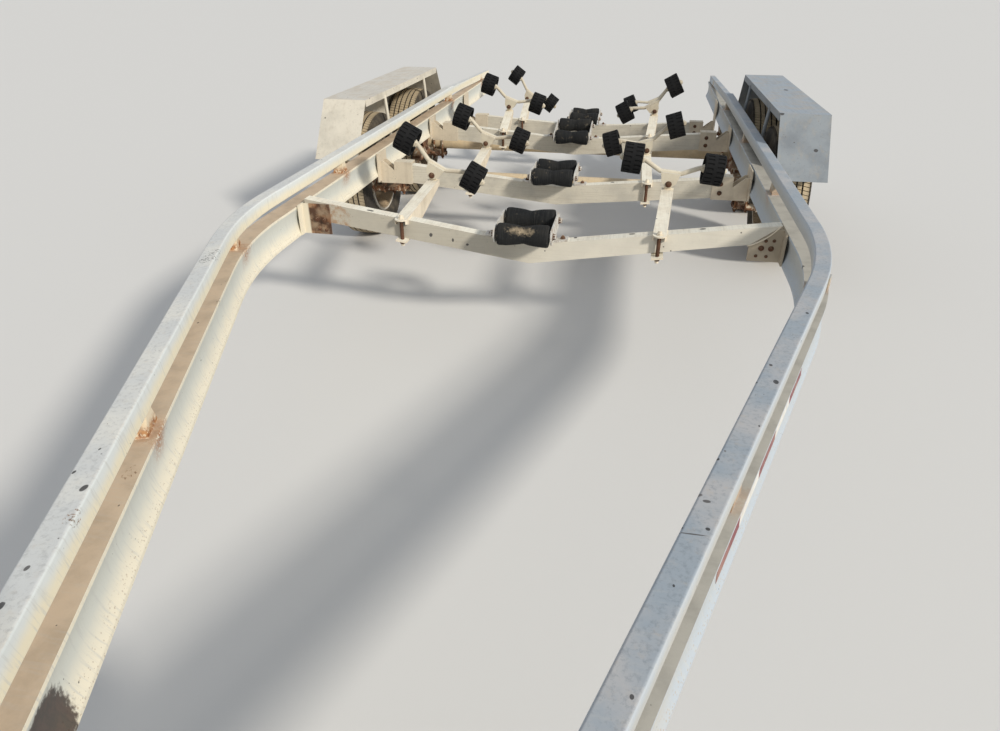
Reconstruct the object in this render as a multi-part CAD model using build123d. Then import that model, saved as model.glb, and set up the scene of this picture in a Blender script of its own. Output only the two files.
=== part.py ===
from build123d import *
import os
from math import atan, cos, degrees, hypot, radians, sin, tan

# Tandem-axle roller boat trailer, millimetres.
# X is to the right when looking at the tail, +Y is the tail, -Y the coupler, Z is up from the floor.
os.makedirs("parts", exist_ok=True)

SIDES = {"left": -1, "right": 1}

# Main rails: a lower box beam and an upper tube that stands on gussets above it
RAIL_X = 958.0
RAIL_REAR_Y = 3875.0
BEND_Y = -405.0
BEND_RADIUS = 1500.0
TAPER = 0.36
RAIL_FRONT_Y = -2800.0
LOWER_Z0, LOWER_Z1 = 446.0, 563.0
LOWER_TOP, LOWER_WAIST, LOWER_FOOT, LOWER_LIP = 34.0, 25.0, 38.0, 9.0
UPPER_W, UPPER_Z0, UPPER_Z1 = 47.0, 606.0, 656.0
REAR_UPPER_W = 34.0
STEP_Y, TAIL_DROP = 2600.0, 42.0
GUSSET_Y = [-2485.0, -1477.0, -471.0, 536.0, 1542.0, 2548.0]
GUSSET_L, GUSSET_W = 70.0, 40.0

# Crossmembers: bent boxes, lowest in the middle
CROSS_W = 50.0
PLATE = 6.0
# name, y of the middle, top height at the centre line, rise per mm outwards, end from the centre, height of the box,
# height of the front and of the rear keel roller over the top
CROSS = [
    ("front", 55.0, 456.0, 0.143, 904.0, 76.0, 62.0, 62.0),
    ("second", 980.0, 429.0, 0.098, 836.0, 90.0, 64.0, 64.0),
    ("third", 1970.0, 453.0, 0.083, 836.0, 90.0, 30.0, 64.0),
    ("rear", 2920.0, 358.0, 0.062, 836.0, 90.0, 66.0, 66.0),
]

# Wheels, axles and leaf springs
AXLE_Y = {"front": 1365.0, "rear": 2245.0}
WHEEL_R, WHEEL_X, TYRE_W = 340.0, 1135.0, 196.0
RIM_R, RIM_W = 192.0, 172.0
AXLE_R, AXLE_END_X = 38.0, 975.0
SPINDLE_R, SPINDLE_END_X = 22.0, 1180.0
BORE_GAP = 0.05
SPRING_X, SPRING_W, LEAF_T = 952.0, 45.0, 8.0
SPRING_HALF, EYE_Z, EYE_R = 345.0, 360.0, 17.0
LEAF_HALF = (345.0, 270.0, 190.0, 115.0)
UBOLT_R, UBOLT_DX = 6.0, 29.0

# Fenders: boxes with a flat top and slanted ends, open on the inboard side
FENDER_X0, FENDER_X1, FENDER_T = 1022.0, 1250.0, 4.0
FENDER_Z0, FENDER_Z1 = 523.0, 787.0
FENDER_TOP_Y = (1099.0, 2484.0)
FENDER_FOOT_Y = (907.0, 2676.0)

# Side rollers on rocking cross bars, one bar at the end of each arm
ROLLER_R, ROLLER_W, ROLLER_BORE = 63.0, 82.0, 11.0
ROLLER_RIBS, RIB_GAP, RIB_UP = 16, 8.0, 5.0
ROD_R, FLAT_HALF, FLAT_UP = 10.0, 45.0, 46.0
ROLLER_DX, ROLLER_DZ, BEND_X = 168.0, 81.5, 116.0
PIN_R = 8.0
ARM_W, ARM_T, ARM_DROP = 50.0, 5.0, 24.0
CLAMP_BOLT_R, CLAMP_GAP = 7.0, 16.0
# crossmember, side, pivot x, y and z, clamp x, arm top over the clamp, outer end of the bar up in degrees
BOGIES = [
    ("front", "left", 519.0, 545.0, 571.0, 503.0, 534.0, 28.0),
    ("front", "right", 519.0, 545.0, 583.0, 482.0, 531.0, -6.0),
    ("second", "left", 443.0, 1375.0, 538.0, 440.0, 477.0, 20.0),
    ("second", "right", 432.0, 1375.0, 536.0, 440.0, 477.0, 18.0),
    ("third", "left", 473.0, 2285.0, 582.0, 451.0, 495.0, 19.0),
    ("third", "right", 473.0, 2285.0, 582.0, 451.0, 495.0, 30.0),
    ("rear", "left", 500.0, 3275.0, 484.0, 478.0, 392.0, 36.0),
    ("rear", "right", 500.0, 3275.0, 454.0, 478.0, 392.0, 24.0),
]

# Keel rollers: hourglass pairs in a cradle on each crossmember
KEEL_L, KEEL_R, KEEL_WAIST, KEEL_BORE = 194.0, 42.0, 32.0, 10.0
KEEL_X, KEEL_DY = -14.0, 98.0
KEEL_PLATE_X, KEEL_PLATE_T, KEEL_PLATE_W = 104.0, 6.0, 62.0

# Tongue, coupler, winch post and jack
TONGUE_W, TONGUE_Z0, TONGUE_Z1 = 100.0, 453.0, 553.0
TONGUE_Y = (-3640.0, -2150.0)
TIP_Y = -3875.0
POST_Y, POST_W, POST_TOP = -2560.0, 80.0, 1106.0
JACK_X, JACK_Y = 105.0, -3180.0
JACK_Z0, JACK_Z1 = 300.0, 876.0
JACK_TUBE_R, JACK_LEG_R = 32.0, 26.0


def block(x, y, z):
    """A box from three (low, high) pairs."""
    size = [hi - lo for lo, hi in (x, y, z)]
    mid = [(hi + lo) / 2 for lo, hi in (x, y, z)]
    return Pos(*mid) * Box(*size)


def rod(start, end, radius):
    """A round bar between two points."""
    a, b = Vector(*start), Vector(*end)
    return Plane(origin=(a + b) / 2, z_dir=b - a) * Cylinder(radius, (b - a).length)


def fuse(pieces):
    body = pieces[0]
    for piece in pieces[1:]:
        body = body + piece
    return body


def save(name, shape):
    export_step(shape, f"parts/{name}.step")


def mirror_x(shape):
    return mirror(shape, about=Plane.YZ)


def on_side(shape, side):
    return shape if side == "right" else mirror_x(shape)


# Rails
def rail_x(y):
    """Centre of the right rail ahead of the bend."""
    return RAIL_X - TAPER * (BEND_Y - y)


RAIL_ANGLE = degrees(atan(TAPER))


def along_rail(face, rear_y):
    """A section, drawn across and up from the rail's centre, swept forward round the bend."""
    path = FilletPolyline(
        (RAIL_X, rear_y, 0), (RAIL_X, BEND_Y, 0), (rail_x(RAIL_FRONT_Y), RAIL_FRONT_Y, 0), radius=BEND_RADIUS
    )
    start = Plane(origin=path @ 0, x_dir=(1, 0, 0), z_dir=(0, 1, 0))
    return sweep(start * mirror(face, about=Plane.XZ), path=path)


def gusset(y):
    """Small plate pair between the two tiers of the rail."""
    x = RAIL_X if y > BEND_Y else rail_x(y)
    turn = 0.0 if y > BEND_Y else -RAIL_ANGLE
    profile = Polyline(
        (-GUSSET_L / 2, LOWER_Z1),
        (GUSSET_L / 2, LOWER_Z1),
        (GUSSET_L / 2 - 18, UPPER_Z0),
        (-GUSSET_L / 2 + 18, UPPER_Z0),
        close=True,
    )
    plate = extrude(Plane.YZ * make_face(profile), amount=GUSSET_W / 2, both=True)
    return Pos(x, y, 0) * Rot(0, 0, turn) * plate


def lower_section():
    """Box beam with walls that curve in between a lipped top and a wider foot."""
    low, high, mid = LOWER_Z0 + LOWER_LIP, LOWER_Z1 - LOWER_LIP, (LOWER_Z0 + LOWER_Z1) / 2 + 6
    return make_face([
        Line((-LOWER_TOP, LOWER_Z1), (LOWER_TOP, LOWER_Z1)),
        Line((LOWER_TOP, LOWER_Z1), (LOWER_TOP, high)),
        ThreePointArc((LOWER_TOP, high), (LOWER_WAIST, mid), (LOWER_FOOT, low)),
        Line((LOWER_FOOT, low), (LOWER_FOOT, LOWER_Z0)),
        Line((LOWER_FOOT, LOWER_Z0), (-LOWER_FOOT, LOWER_Z0)),
        Line((-LOWER_FOOT, LOWER_Z0), (-LOWER_FOOT, low)),
        ThreePointArc((-LOWER_FOOT, low), (-LOWER_WAIST, mid), (-LOWER_TOP, high)),
        Line((-LOWER_TOP, high), (-LOWER_TOP, LOWER_Z1)),
    ])


def lower_rail():
    mouth = block(
        (RAIL_X - LOWER_WAIST + 6, RAIL_X + LOWER_WAIST - 6), (RAIL_REAR_Y - 60, RAIL_REAR_Y + 1),
        (LOWER_Z0 + 7, LOWER_Z1 - 7),
    )
    return along_rail(lower_section(), RAIL_REAR_Y) - mouth


def upper_rail():
    """Upper tube on its gussets, with a narrower tail that slopes down to the end of the beam."""
    tube = along_rail(Pos(0, (UPPER_Z0 + UPPER_Z1) / 2) * RectangleRounded(UPPER_W, UPPER_Z1 - UPPER_Z0, 5), STEP_Y)
    inner = RAIL_X - UPPER_W / 2
    y0, y1, high = STEP_Y - 40, RAIL_REAR_Y, UPPER_Z1 - 5
    side = Polyline(
        (y0, UPPER_Z0), (STEP_Y, UPPER_Z0), (y1, UPPER_Z0 - TAIL_DROP), (y1, high - TAIL_DROP), (STEP_Y, high),
        (y0, high), close=True,
    )
    tail = Pos(inner, 0, 0) * extrude(Plane.YZ * make_face(side), amount=REAR_UPPER_W)
    mouth = block(
        (inner + 4, inner + REAR_UPPER_W - 4), (y1 - 50, y1 + 1), (UPPER_Z0 - TAIL_DROP + 6, high - TAIL_DROP - 6)
    )
    return fuse([tube, tail] + [gusset(y) for y in GUSSET_Y]) - mouth


for side in SIDES:
    save(f"lower_rail_{side}", on_side(lower_rail(), side))
    save(f"upper_rail_{side}", on_side(upper_rail(), side))


# Crossmembers and the brackets that hang them from the rails
def cross_top(cross, x):
    return cross[2] + cross[3] * abs(x)


def crossmember(cross):
    """Shallow V; the front one is cut on the slant at its right end."""
    name, y, z0, rise, end, high = cross[:6]
    z1 = z0 + rise * end
    foot = end - 100 if name == "front" else end
    outline = Polyline(
        (-end, z1), (0, z0), (end, z1), (foot, z1 - high), (0, z0 - high), (-end, z1 - high), close=True
    )
    body = extrude(Plane.XZ * make_face(outline), amount=CROSS_W / 2, both=True)
    return Pos(0, y, 0) * body


RAIL_WALL = RAIL_X - LOWER_FOOT


def wall_plate(cross, half, low, high):
    return block((RAIL_WALL - PLATE, RAIL_WALL), (cross[1] - half, cross[1] + half), (low, high))


def front_bracket(cross, in_front):
    """Angle on the rail with a leg across the end of the front crossmember."""
    y = cross[1] - CROSS_W / 2
    leg_y = (y - PLATE, y) if in_front else (y + 3, y + 3 + PLATE)
    leg = block((RAIL_WALL - 118, RAIL_WALL - PLATE), leg_y, (LOWER_Z0 + 2, LOWER_Z1 + 6))
    angle = wall_plate(cross, 62, LOWER_Z0 + 2, LOWER_Z1 + 6) + leg
    return angle if in_front else angle - crossmember(cross)


def cap_bracket(cross):
    """Folded cap over the end of a crossmember, with ears that reach the plate on the rail."""
    name, y, z0, rise, end, high = cross[:6]
    top, low = z0 + rise * end + PLATE, z0 + rise * end - high - 14
    half, x0 = CROSS_W / 2, end - 88
    ears = [block((x0, RAIL_WALL - PLATE), sorted((y + s * (half + 0.5), y + s * (half + 0.5 + PLATE))), (low, top))
            for s in (-1, 1)]
    cap = block((x0, end + 4), (y - half - 1, y + half + 1), (top - PLATE, top))
    notch = Polyline((end + 6, top + 1), (RAIL_WALL - 20, top + 1), (end + 6, top - 46), close=True)
    cut = Pos(0, y, 0) * extrude(Plane.XZ * make_face(notch), amount=half + 10, both=True)
    plate = wall_plate(cross, 66, min(low + 10, LOWER_Z0 + 2), LOWER_Z1 - 4)
    return fuse(ears + [cap, plate]) - cut


for cross in CROSS:
    save(f"crossmember_{cross[0]}", crossmember(cross))
brackets = [front_bracket(CROSS[0], False), mirror_x(front_bracket(CROSS[0], True))]
for cross in CROSS[1:]:
    bracket = cap_bracket(cross)
    brackets += [bracket, mirror_x(bracket)]
save("rail_brackets", Compound(children=brackets))


# Keel cradles and rollers
def keel_axis(cross, dy):
    """Height of the axis of the roller before or behind the crossmember."""
    return cross[2] + (cross[6] if dy < 0 else cross[7])


def keel_side(cross, sign):
    """One side plate of a cradle with its foot on the crossmember."""
    y, rise = cross[1], cross[3]
    low, high = keel_axis(cross, -1), keel_axis(cross, 1)
    middle, tilt = (low + high) / 2, degrees(atan((high - low) / (2 * KEEL_DY)))
    x0 = KEEL_X + sign * KEEL_PLATE_X
    bar = Pos(x0 + sign * KEEL_PLATE_T / 2, y, middle) * Rot(tilt, 0, 0) * Rot(0, 90, 0) * extrude(
        SlotCenterToCenter(hypot(2 * KEEL_DY, high - low), KEEL_PLATE_W, rotation=90), amount=KEEL_PLATE_T / 2, both=True
    )
    lean = -sign * degrees(atan(rise))
    foot_x = x0 + sign * 28
    foot = Pos(foot_x, y, cross_top(cross, foot_x) + 3.5) * Rot(0, lean, 0) * Box(56, 46, 6)
    web = block(sorted((x0, x0 + sign * KEEL_PLATE_T)), (y - 22, y + 22), (cross_top(cross, x0) + 3, middle))
    return fuse([bar, web, foot])


def keel_cradle(cross):
    reach = KEEL_PLATE_X + KEEL_PLATE_T + 14
    pieces = [keel_side(cross, -1), keel_side(cross, 1)]
    for dy in (-KEEL_DY, KEEL_DY):
        y, z = cross[1] + dy, keel_axis(cross, dy)
        pieces.append(rod((KEEL_X - reach, y, z), (KEEL_X + reach, y, z), KEEL_BORE - BORE_GAP))
    return fuse(pieces)


def keel_roller():
    """Hourglass: two lobes that narrow towards a waist in the middle."""
    # distance from the middle and radius, from the end to the waist
    lobe = [(KEEL_L / 2, KEEL_BORE), (KEEL_L / 2, KEEL_R - 5), (KEEL_L / 2 - 6, KEEL_R),
            (KEEL_L / 2 - 40, KEEL_R - 2), (7, KEEL_WAIST)]
    outline = Polyline(*([(-x, r) for x, r in lobe] + lobe[::-1]), close=True)
    return revolve(make_face(outline), axis=Axis.X)


save("keel_cradles", Compound(children=[keel_cradle(cross) for cross in CROSS]))
for cross in CROSS:
    for end, dy in (("a", -KEEL_DY), ("b", KEEL_DY)):
        save(f"keel_roller_{cross[0]}_{end}", Pos(KEEL_X, cross[1] + dy, keel_axis(cross, dy)) * keel_roller())


# Arms that reach back from the crossmembers to the rocking bars
def arm(row):
    """Folded channel on its clamp, ending in the lug that carries the rocking bar."""
    name, side, px, py, pz, fx, fz = row[:7]
    cross = next(c for c in CROSS if c[0] == name)
    front_bolt, rear_bolt = (cross[1] + s * (CROSS_W / 2 + CLAMP_GAP) for s in (-1, 1))
    tip, end, top = front_bolt - ARM_W / 2, py + 12, pz - ARM_DROP
    back = cross[1] + CROSS_W / 2
    webs = Polyline(
        (tip, fz), (front_bolt, fz), (end, top), (end, top - 26), (back + 30, fz - 84), (back, fz - 84),
        (back, fz - 40), (tip, fz - 16), close=True,
    )
    inside = Polyline(
        (tip - 1, fz - ARM_T), (front_bolt, fz - ARM_T), (end - 12, top - ARM_T), (end - 12, top - 120),
        (tip - 1, fz - 120), close=True,
    )
    turn = degrees(atan((fx - px) / (py - front_bolt)))
    plan = extrude(Plane.XY * SlotOverall(end - tip + ARM_W, ARM_W, rotation=90), amount=1500)
    plan = Pos(0, (tip + end + ARM_W) / 2, 0) * plan
    channel = extrude(Plane.YZ * make_face(webs), amount=ARM_W / 2, both=True) & plan
    channel -= extrude(Plane.YZ * make_face(inside), amount=ARM_W / 2 - ARM_T, both=True)
    channel = Pos(fx, front_bolt, 0) * Rot(0, 0, turn) * Pos(0, -front_bolt, 0) * channel
    rise = degrees(atan(cross[3]))
    low = cross_top(cross, fx) - cross[5]
    strap = Pos(fx, (front_bolt + rear_bolt) / 2, low - 4) * Rot(0, -rise, 0) * Box(
        44, rear_bolt - front_bolt + 40, 7
    )
    under = fz + (top - fz) * (rear_bolt - front_bolt) / (end - front_bolt) - 2
    ends = [(front_bolt, fz + 16), (rear_bolt, under)]
    bolts = [rod((fx, y, low - 26), (fx, y, z), CLAMP_BOLT_R) for y, z in ends]
    sleeve = rod((px, py - 15, pz), (px, py + 15, pz), 20)
    lug = block((px - 15, px + 15), (py - 11, py + 11), (top - 12, pz))
    pin = rod((px, py - 34, pz), (px, py + 34, pz), PIN_R)
    return on_side(fuse([channel, strap, sleeve, lug, pin] + bolts), side) - crossmember(cross)


def bar_frame():
    """Rocking cross bar about its pivot: two cheek plates and a bent rod."""
    tip = ROLLER_DX + 52
    half = [(FLAT_HALF, FLAT_UP), (BEND_X, ROLLER_DZ), (tip, ROLLER_DZ)]
    bend = [(-x, z) for x, z in half[::-1]] + half
    path = FilletPolyline(*[(x, 0, z) for x, z in bend], radius=24)
    start = Plane(origin=path @ 0, z_dir=path % 0)
    bent = sweep(start * Circle(ROD_R), path=path)
    cheek = Polyline((-41, FLAT_UP), (41, FLAT_UP), (31, 6), (14, -12), (-14, -12), (-31, 6), close=True)
    plate = extrude(Plane.XZ * make_face(cheek), amount=3, both=True)
    hole = Rot(90, 0, 0) * Cylinder(PIN_R + BORE_GAP, 80)
    cheeks = fuse([Pos(0, -21, 0) * plate, Pos(0, 21, 0) * plate])
    cap = block((-41, 41), (-24, 24), (FLAT_UP - 5, FLAT_UP))
    return fuse([bent, cheeks, cap]) - hole


def ribbed_roller():
    """Rubber roller with lengthwise ribs and a hub set back in its ends."""
    half, root = ROLLER_W / 2, ROLLER_R - RIB_UP
    outline = Polyline(
        (ROLLER_BORE, -half + 4), (24, -half + 4), (30, -half + 16), (ROLLER_R - 15, -half + 16),
        (ROLLER_R - 9, -half), (ROLLER_R, -half), (ROLLER_R, half), (ROLLER_R - 9, half),
        (ROLLER_R - 15, half - 16), (30, half - 16), (24, half - 4), (ROLLER_BORE, half - 4), close=True,
    )
    body = revolve(Plane.XZ * make_face(outline), axis=Axis.Z)
    groove = Pos(root + 10, 0, 0) * Box(20, RIB_GAP, ROLLER_W + 2)
    grooves = [Rot(0, 0, 360 / ROLLER_RIBS * n) * groove for n in range(ROLLER_RIBS)]
    return body - grooves


ROLLER = ribbed_roller()


def side_roller(sign):
    return Pos(sign * ROLLER_DX, 0, ROLLER_DZ) * Rot(0, 90, 0) * ROLLER


save("side_arms", Compound(children=[arm(row) for row in BOGIES]))
for name, side, x, y, z, *_, up in BOGIES:
    sign = SIDES[side]
    place = Pos(sign * x, y, z) * Rot(0, -sign * up, 0)
    save(f"rocker_{name}_{side}", place * bar_frame())
    save(f"side_rollers_{name}_{side}", Compound(children=[place * side_roller(end) for end in (-1, 1)]))


# Axles with their spindles
def axle(y):
    tube = rod((-AXLE_END_X, y, WHEEL_R), (AXLE_END_X, y, WHEEL_R), AXLE_R)
    spindle = rod((-SPINDLE_END_X, y, WHEEL_R), (SPINDLE_END_X, y, WHEEL_R), SPINDLE_R)
    collars = [rod((s * (AXLE_END_X - 2), y, WHEEL_R), (s * 1050, y, WHEEL_R), 33) for s in (-1, 1)]
    return fuse([tube, spindle] + collars)


for name, y in AXLE_Y.items():
    save(f"axle_{name}", axle(y))


def leaf_spring(y):
    """Leaf pack slung under the axle tube by two U-bolts and a seat plate."""
    seat, low = WHEEL_R - AXLE_R, WHEEL_R - AXLE_R - LEAF_T * len(LEAF_HALF)
    pieces = []
    for n, half in enumerate(LEAF_HALF):
        mid = seat - LEAF_T * (n + 1)
        end = mid + (EYE_Z - seat + 8) * (half / SPRING_HALF) ** 2
        under = ThreePointArc((y - half, end), (y, mid), (y + half, end))
        over = ThreePointArc((y + half, end + LEAF_T), (y, mid + LEAF_T), (y - half, end + LEAF_T))
        face = make_face([under, Line(under @ 1, over @ 0), over, Line(over @ 1, under @ 0)])
        pieces.append(Pos(SPRING_X, 0, 0) * extrude(Plane.YZ * face, amount=SPRING_W / 2, both=True))
    half_x = SPRING_W / 2
    for end in (-1, 1):
        ye = y + end * SPRING_HALF
        pieces.append(rod((SPRING_X - half_x, ye, EYE_Z), (SPRING_X + half_x, ye, EYE_Z), EYE_R))
    pieces.append(block((SPRING_X - 37, SPRING_X + 37), (y - 56, y + 56), (low - 10, low)))
    reach = AXLE_R + UBOLT_R
    for dx in (-UBOLT_DX, UBOLT_DX):
        x = SPRING_X + dx
        bow = ThreePointArc((x, y - reach, WHEEL_R), (x, y, WHEEL_R + reach), (x, y + reach, WHEEL_R))
        pieces.append(sweep(Plane(origin=bow @ 0, z_dir=bow % 0) * Circle(UBOLT_R), path=bow))
        for dy in (-reach, reach):
            pieces.append(rod((x, y + dy, low - 28), (x, y + dy, WHEEL_R), UBOLT_R))
    return fuse(pieces)


def spring_hangers():
    """Hangers under the rail, with the equaliser between the two springs and a shackle at the tail."""
    front, rear = AXLE_Y["front"] - SPRING_HALF, AXLE_Y["rear"] + SPRING_HALF
    mid = (AXLE_Y["front"] + AXLE_Y["rear"]) / 2
    half_x, pivot_z, roof = SPRING_W / 2 + 2, EYE_Z + 42, LOWER_Z0 - 0.5
    pieces = []
    # middle, half length at the top, pin height, y of the pin
    for y, half, z, pin_y in ((front, 55, EYE_Z, front), (mid, 70, pivot_z, mid), (rear, 55, pivot_z, rear - 20)):
        side = Polyline(
            (y - half, roof), (y + half, roof), (pin_y + 24, z - 6), (pin_y + 12, z - 22), (pin_y - 12, z - 22),
            (pin_y - 24, z - 6), close=True,
        )
        for x in (SPRING_X - half_x - PLATE, SPRING_X + half_x):
            pieces.append(Pos(x, 0, 0) * extrude(Plane.YZ * make_face(side), amount=PLATE))
        pieces.append(block((SPRING_X - half_x, RAIL_X + LOWER_FOOT), (y - half, y + half), (roof - 8, roof)))
        pieces.append(rod((SPRING_X - half_x - 16, pin_y, z), (SPRING_X + half_x + 16, pin_y, z), 9))
    gap = (AXLE_Y["rear"] - AXLE_Y["front"]) / 2 - SPRING_HALF
    link = Polyline(
        (mid - gap - 20, EYE_Z - 16), (mid + gap + 20, EYE_Z - 16), (mid + gap + 20, EYE_Z + 14), (mid + 26, pivot_z + 22),
        (mid - 26, pivot_z + 22), (mid - gap - 20, EYE_Z + 14), close=True,
    )
    pieces.append(Pos(SPRING_X, 0, 0) * extrude(Plane.YZ * make_face(link), amount=half_x, both=True))
    shackle = Polyline(
        (rear - 16, EYE_Z - 20), (rear + 16, EYE_Z - 20), (rear + 2, pivot_z + 18), (rear - 40, pivot_z + 18), close=True
    )
    pieces.append(Pos(SPRING_X, 0, 0) * extrude(Plane.YZ * make_face(shackle), amount=half_x, both=True))
    return fuse(pieces)


for side in SIDES:
    springs = fuse([leaf_spring(AXLE_Y["front"]), leaf_spring(AXLE_Y["rear"]), spring_hangers()])
    save(f"leaf_springs_{side}", on_side(springs, side))


# Wheels
def rim():
    """Steel rim with a slotted disc and a hub on bearings, outer face towards +X."""
    half, well = RIM_W / 2, RIM_R - 30
    barrel = Polyline(
        (-half, RIM_R + 12), (-half + 7, RIM_R + 12), (-half + 9, RIM_R), (-30, RIM_R - 5), (-22, well), (22, well),
        (32, RIM_R - 5), (half - 9, RIM_R), (half - 7, RIM_R + 12), (half, RIM_R + 12), (half, RIM_R - 6),
        (34, RIM_R - 12), (26, well - 7), (-26, well - 7), (-half, RIM_R - 9), close=True,
    )
    disc = Polyline((10, well - 2), (10, 112), (32, 96), (32, 52), (26, 52), (26, 90), (4, 110), (4, well - 2), close=True)
    bore = SPINDLE_R + BORE_GAP
    hub = Polyline((-72, bore), (-72, 50), (20, 58), (27, 58), (64, 34), (64, 26), (50, 26), (50, bore), close=True)
    slots = [Rot(360 / 10 * n, 0, 0) * Pos(7, 0, 140) * Box(20, 36, 17) for n in range(10)]
    plates = revolve(make_face(disc), axis=Axis.X) - slots
    cap = Pos(66, 0, 0) * Rot(0, 90, 0) * Cylinder(34, 6)
    return fuse([revolve(make_face(barrel), axis=Axis.X), plates, revolve(make_face(hub), axis=Axis.X), cap])


def tyre():
    """Tyre with a flat tread between two grooved shoulders."""
    # half width and radius, from the bead up to the middle of the tread
    half = [
        (RIM_W / 2 - 9, RIM_R + 0.3), (RIM_W / 2 - 9, RIM_R + 16), (TYRE_W / 2 - 7, RIM_R + 42),
        (TYRE_W / 2, RIM_R + 82), (TYRE_W / 2 - 4, WHEEL_R - 44), (TYRE_W / 2 - 12, WHEEL_R - 14),
        (TYRE_W / 2 - 24, WHEEL_R - 4), (44, WHEEL_R - 1), (40, WHEEL_R - 9), (34, WHEEL_R - 9), (30, WHEEL_R),
    ]
    outline = Polyline(*([(-x, r) for x, r in half] + half[::-1]), close=True)
    return revolve(make_face(outline), axis=Axis.X)


for name, y in AXLE_Y.items():
    for side in SIDES:
        place = Pos(WHEEL_X, y, WHEEL_R)
        save(f"wheel_{name}_{side}", on_side(place * rim(), side))
        save(f"tyre_{name}_{side}", on_side(place * tyre(), side))


# Fenders
def fender():
    (t0, t1), (f0, f1) = FENDER_TOP_Y, FENDER_FOOT_Y
    outer = Polyline((f0, FENDER_Z0), (t0, FENDER_Z1), (t1, FENDER_Z1), (f1, FENDER_Z0), close=True)
    t = FENDER_T
    lean = (t0 - f0) / (FENDER_Z1 - FENDER_Z0)
    grow = t * hypot(1, lean)
    inner = Polyline(
        (f0 + grow - lean * t, FENDER_Z0 - t), (t0 + grow - lean * t, FENDER_Z1 - t),
        (t1 - grow + lean * t, FENDER_Z1 - t), (f1 - grow + lean * t, FENDER_Z0 - t), close=True,
    )
    span = FENDER_X1 - FENDER_X0
    shell = Pos(FENDER_X0, 0, 0) * extrude(Plane.YZ * make_face(outer), amount=span)
    void = Pos(FENDER_X0 - 1, 0, 0) * extrude(Plane.YZ * make_face(inner), amount=span - t + 1)
    lip = block((FENDER_X0, FENDER_X0 + t), (t0 + 6, t1 - 6), (FENDER_Z1 - 34, FENDER_Z1 - 1))
    stays = []
    for y in (1400.0, 2170.0):
        stays.append(rod((RAIL_X + LOWER_TOP + 10, y, LOWER_Z1 - 28), (FENDER_X0 + 2, y, FENDER_Z1 - 20), 9))
        stays.append(block((RAIL_X + LOWER_TOP, RAIL_X + LOWER_TOP + 12), (y - 22, y + 22), (LOWER_Z1 - 49, LOWER_Z1 - 4)))
    return fuse([shell - void, lip] + stays)


for side in SIDES:
    save(f"fender_{side}", on_side(fender(), side))


# Tongue, coupler, winch post and jack
def tongue():
    z = (TONGUE_Z0, TONGUE_Z1)
    beam = block((-TONGUE_W / 2, TONGUE_W / 2), TONGUE_Y, z)
    y0, y1 = -2860.0, -2560.0
    x0, x1 = rail_x(y0) + 40, rail_x(y1) + 40
    plan = Polyline((-x0, y0), (x0, y0), (x1, y1), (-x1, y1), close=True)
    low = Pos(0, 0, LOWER_Z0 - 8.5) * extrude(make_face(plan), amount=8)
    pads = [block((-TONGUE_W / 2, TONGUE_W / 2), (y0, y1), (LOWER_Z0 - 1, TONGUE_Z0))]
    return fuse([beam, low] + pads)


def coupler():
    y0 = TONGUE_Y[0]
    nose_z = TONGUE_Z0 + 50
    shell = [
        Pos(0, TIP_Y + 48, nose_z) * Cylinder(48, 70),
        block((-38, 38), (TIP_Y + 48, y0 - 6), (nose_z - 20, nose_z + 35)),
        block((-58, 58), (y0 - 6, y0 + 150), (TONGUE_Z1, TONGUE_Z1 + 8)),
        block((-58, 58), (y0 - 8, y0), (TONGUE_Z0 + 20, TONGUE_Z1 + 8)),
    ]
    socket = Pos(0, TIP_Y + 48, nose_z - 12) * Sphere(25.5)
    throat = Pos(0, TIP_Y + 48, nose_z - 40) * Cylinder(25.5, 56)
    latch = block((-7, 7), (TIP_Y + 60, TIP_Y + 190), (nose_z + 38, nose_z + 52))
    knob = rod((-10, TIP_Y + 185, nose_z + 45), (10, TIP_Y + 185, nose_z + 45), 12)
    post = block((-9, 9), (TIP_Y + 60, TIP_Y + 90), (nose_z + 30, nose_z + 46))
    return fuse(shell + [latch, knob, post]) - socket - throat


def winch_post():
    post = block((-POST_W / 2, POST_W / 2), (POST_Y - 40, POST_Y + 40), (TONGUE_Z1 + 0.5, POST_TOP))
    base = block((-62, 62), (POST_Y - 90, POST_Y + 90), (TONGUE_Z1 + 0.5, TONGUE_Z1 + 9))
    brace = rod((0, POST_Y - 30, POST_TOP - 220), (0, POST_Y - 320, TONGUE_Z1 + 18), 16)
    shoe = block((-30, 30), (POST_Y - 350, POST_Y - 290), (TONGUE_Z1 + 0.5, TONGUE_Z1 + 12))
    arm_out = block((-25, 25), (POST_Y, POST_Y + 170), (POST_TOP - 120, POST_TOP - 70))
    cheeks = [block((s, s + 6), (POST_Y + 130, POST_Y + 240), (POST_TOP - 150, POST_TOP - 60)) for s in (-56, 50)]
    bridge = block((-56, 56), (POST_Y + 150, POST_Y + 170), (POST_TOP - 120, POST_TOP - 70))
    pin = rod((-64, POST_Y + 215, POST_TOP - 95), (64, POST_Y + 215, POST_TOP - 95), 8)
    return fuse([post, base, brace, shoe, arm_out, bridge, pin] + cheeks)


def bow_roller():
    half = 46.0
    outline = Polyline((8.05, -half), (40, -half), (24, 0), (40, half), (8.05, half), close=True)
    body = revolve(Plane.XZ * make_face(outline), axis=Axis.Z)
    return Pos(0, POST_Y + 215, POST_TOP - 95) * Rot(0, 90, 0) * body


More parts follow.
